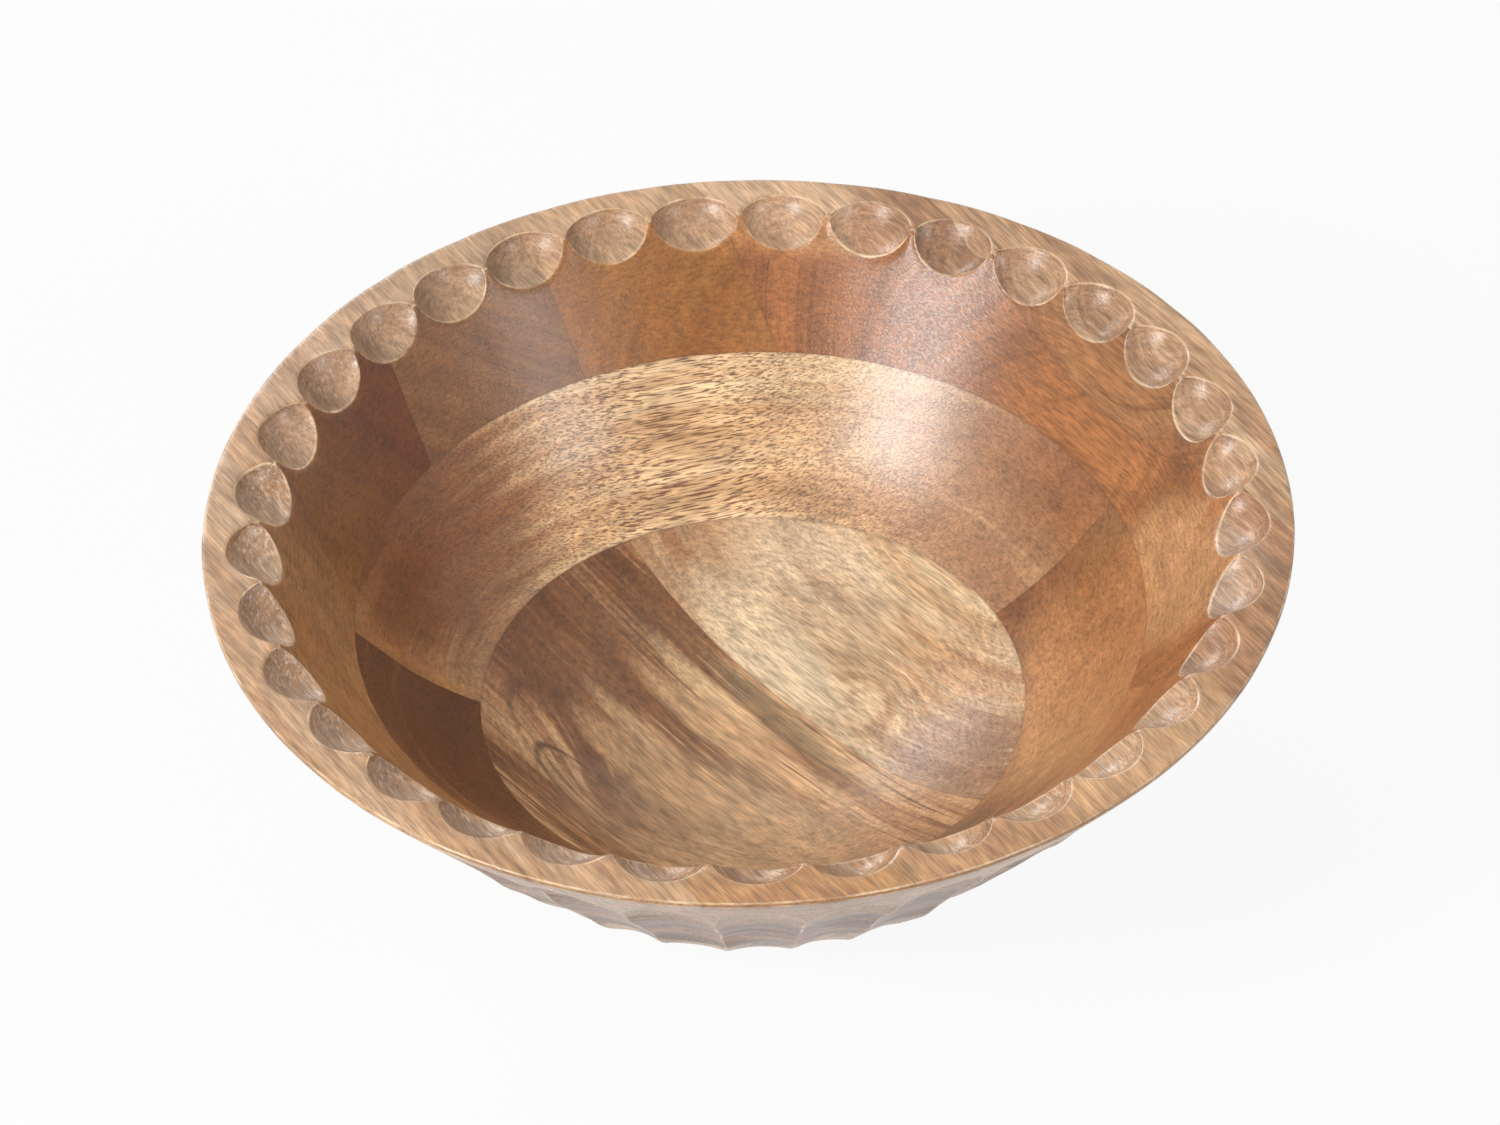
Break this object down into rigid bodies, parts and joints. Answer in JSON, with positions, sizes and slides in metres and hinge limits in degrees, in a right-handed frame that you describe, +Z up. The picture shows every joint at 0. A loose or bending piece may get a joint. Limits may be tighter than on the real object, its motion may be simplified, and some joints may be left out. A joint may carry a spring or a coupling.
{
  "type": "dough bowl",
  "caption": "Round wooden dough bowl glued up from layers of boards, with a scalloped lip and a fluted outer wall, for mixing and proving dough or holding fruit.",
  "frame": {"origin": "middle of the flat underside, where the bowl rests", "axes": "+Z up along the bowl's axis, -Y towards the viewer of the picture, +X to the viewer's right"},
  "size_m": [0.36, 0.36, 0.12],
  "materials": {
    "rim_wood_tan": "oiled mango wood, light tan boards",
    "rim_wood_brown": "oiled mango wood, orange-brown boards",
    "middle_wood_pale": "oiled mango wood, pale board with dark pores",
    "middle_wood_dark": "oiled mango wood, dark brown board",
    "base_wood_dark": "oiled mango wood, streaked brown board",
    "base_wood_pale": "oiled mango wood, pale beige board"
  },
  "bodies": {
    "root": {"rim_board_front_left": "rim_wood_tan", "rim_board_left": "rim_wood_brown", "rim_board_front": "rim_wood_brown", "rim_board_back_left": "rim_wood_tan", "rim_board_front_right": "rim_wood_tan", "rim_board_back": "rim_wood_brown", "rim_board_right": "rim_wood_tan", "rim_board_inner_right": "rim_wood_brown", "rim_board_outer_right": "rim_wood_tan", "middle_board_back": "middle_wood_pale", "middle_board_front": "middle_wood_dark", "base_board_left": "base_wood_dark", "base_board_right": "base_wood_pale"}
  },
  "joints": []
}
